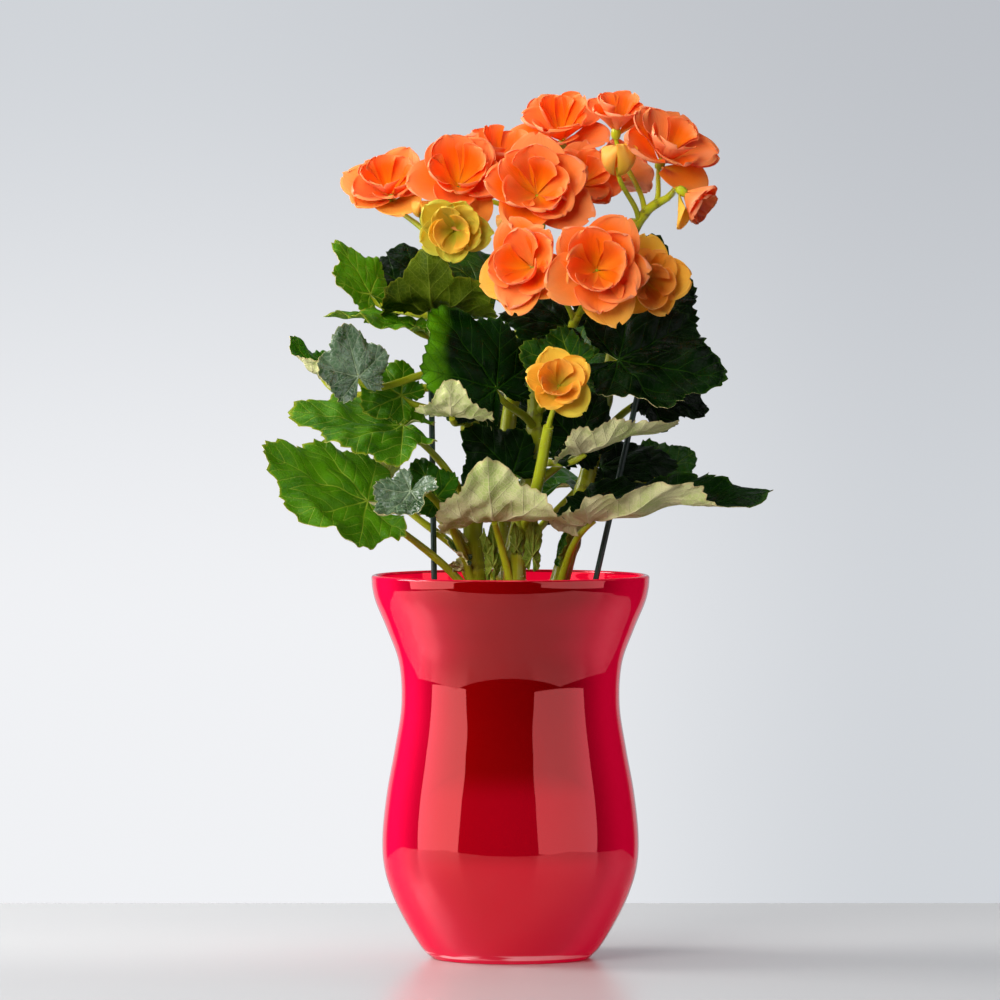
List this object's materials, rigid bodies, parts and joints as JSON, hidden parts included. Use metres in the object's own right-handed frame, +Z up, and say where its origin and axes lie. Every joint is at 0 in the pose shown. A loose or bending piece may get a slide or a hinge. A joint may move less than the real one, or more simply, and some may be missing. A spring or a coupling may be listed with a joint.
{
  "type": "potted begonia",
  "caption": "Flowering begonia with lobed leaves and double orange flowers on juicy stems, standing in a grow pot inside a waisted red glass vase.",
  "frame": {"origin": "middle of the vase's flat foot, on the surface that it stands on", "axes": "+Z up along the vase's axis, +X to the right and -Y to the front of the plant as pictured"},
  "size_m": [0.2465, 0.1894, 0.4368],
  "materials": {
    "red_glass": "gloss",
    "pot_plastic": "matte",
    "potting_soil": "matte",
    "stake_green": "satin",
    "stem_green": "satin",
    "leaf_green": "satin",
    "petal_orange": "satin",
    "petal_yellow_green": "satin"
  },
  "bodies": {
    "root": {"vase": "red_glass", "grow_pot": "pot_plastic", "soil": "potting_soil", "stake_left": "stake_green", "stake_right": "stake_green", "stem_centre": "stem_green", "stem_left": "stem_green", "stem_right": "stem_green", "stem_back": "stem_green", "leaf_low_left": "leaf_green", "leaf_low_left_inner": "leaf_green", "leaf_low_left_up": "leaf_green", "leaf_low_front": "leaf_green", "leaf_low_right": "leaf_green", "leaf_mid_right": "leaf_green", "leaf_up_right": "leaf_green", "leaf_up_right_back": "leaf_green", "leaf_right_dark": "leaf_green", "leaf_right_low": "leaf_green", "leaf_right_shade": "leaf_green", "leaf_heart": "leaf_green", "leaf_left_bright": "leaf_green", "leaf_pale_front": "leaf_green", "leaf_top_left": "leaf_green", "leaf_left_top": "leaf_green", "leaf_left_yellow": "leaf_green", "leaf_left_dark": "leaf_green", "leaf_left_pale": "leaf_green", "leaf_left_mid": "leaf_green", "leaf_top_back_left": "leaf_green", "leaf_top_back": "leaf_green", "leaf_bract": "leaf_green", "leaf_low_mid_dark": "leaf_green", "leaf_low_left_dark": "leaf_green", "leaf_centre_dark": "leaf_green", "leaf_under_bloom": "leaf_green", "leaf_back_low_left": "leaf_green", "leaf_back_low_right": "leaf_green", "leaf_back_mid": "leaf_green", "leaf_back_up_right": "leaf_green", "bloom_left": "petal_orange", "bloom_left_inner": "petal_orange", "bloom_top_left": "petal_orange", "bloom_centre": "petal_orange", "bloom_centre_right": "petal_orange", "bloom_top": "petal_orange", "bloom_top_right": "petal_orange", "bloom_right": "petal_orange", "bloom_far_right": "petal_orange", "bloom_front_left": "petal_orange", "bloom_front": "petal_orange", "bloom_front_right": "petal_orange", "bloom_small": "petal_yellow_green", "bloom_young": "petal_yellow_green", "bloom_back_left": "petal_orange", "bloom_back_right": "petal_orange"}
  },
  "joints": []
}
